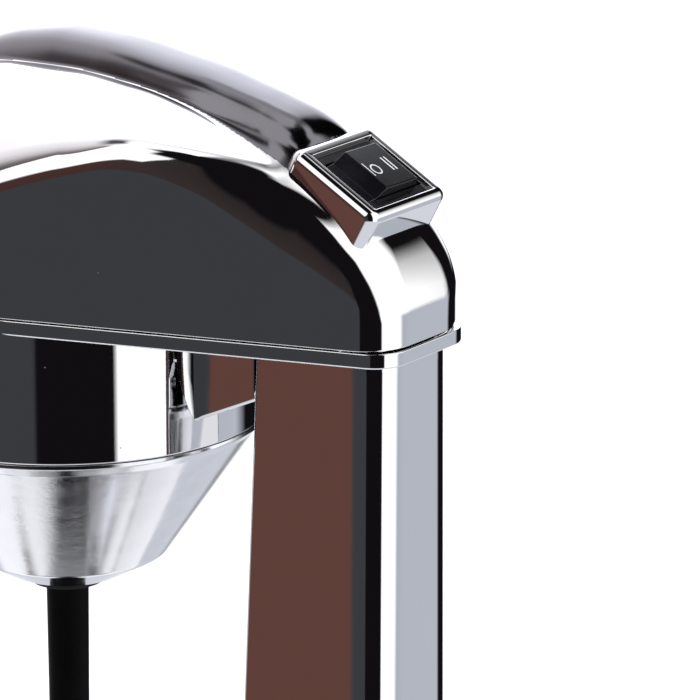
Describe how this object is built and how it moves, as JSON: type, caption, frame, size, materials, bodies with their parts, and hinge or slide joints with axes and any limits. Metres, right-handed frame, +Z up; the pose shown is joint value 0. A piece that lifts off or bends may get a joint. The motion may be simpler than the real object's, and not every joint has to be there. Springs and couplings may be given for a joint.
{
  "type": "drink mixer",
  "caption": "Countertop drink mixer with a chromed tilting motor head, rocker speed switch, cone nose, driven spindle, hollow column and round-fronted base.",
  "frame": {"origin": "on the table under the middle of the footprint", "axes": "+Z up, -Y towards the nose of the head and the front of the base, +X towards the side on the right when seen from the front"},
  "size_m": [0.168, 0.2122, 0.3713],
  "materials": {
    "chrome_cover": "mirror chrome plate",
    "chrome_housing": "mirror chrome plate",
    "chrome_column": "mirror chrome plate",
    "chrome_frame": "mirror chrome plate",
    "satin_cone": "polished cast aluminium",
    "black_switch": "fine satin moulding",
    "black_rocker": "satin moulding",
    "black_spindle": "satin black coating",
    "black_moulding": "plain moulding",
    "rubber_black": "matt",
    "steel": "plain",
    "lamination": "stacked lamination",
    "copper": "enamelled copper",
    "bronze": "sintered bronze",
    "carbon": "carbon block",
    "brass": "plain",
    "board": "glass-fibre board",
    "nylon": "natural nylon"
  },
  "bodies": {
    "stand": {"base_shell": "chrome_column", "base_plate": "black_moulding", "cup_pad": "rubber_black", "ballast_plate": "lamination", "rubber_feet": "rubber_black", "base_screws": "steel", "cord_gland": "black_moulding", "terminal_block": "nylon", "column_shell": "chrome_column", "upright": "steel", "hinge_pin": "steel", "detent_spring": "steel"},
    "head": {"head_cover": "chrome_cover", "lower_housing": "chrome_housing", "nose_cone": "satin_cone", "shaft_seal": "rubber_black", "switch_frame": "chrome_frame", "switch_body": "black_switch", "switch_terminals": "brass", "motor_field_core": "lamination", "field_coils": "copper", "upper_bracket": "steel", "lower_bracket": "steel", "upper_bearing": "bronze", "lower_bearing": "bronze", "motor_bolts": "steel", "motor_dampers": "rubber_black", "brush_holders": "brass", "carbon_brushes": "carbon", "speed_board": "board", "head_screws": "steel", "hinge_arm": "steel"},
    "rocker": {"switch_rocker": "black_rocker"},
    "rotor": {"motor_shaft": "steel", "armature_core": "lamination", "armature_windings": "copper", "commutator": "copper", "cooling_fan": "nylon", "spindle_coupling": "steel", "spindle": "black_spindle", "agitator": "black_spindle", "agitator_nut": "steel"}
  },
  "joints": [
    {"name": "head_tilt", "type": "hinge", "parent": "stand", "child": "head", "pos_m": [0, 0.08, 0.294], "axis": [-1, 0, 0], "range_deg": [0, 25]},
    {"name": "speed_rocker", "type": "hinge", "parent": "head", "child": "rocker", "pos_m": [0, 0.0836, 0.34138], "axis": [0, 0.8796, -0.4756], "range_deg": [-7, 7]},
    {"name": "spindle_spin", "type": "hinge", "parent": "head", "child": "rotor", "pos_m": [0, -0.021, 0.252], "axis": [0, 0, -1], "continuous": true}
  ]
}
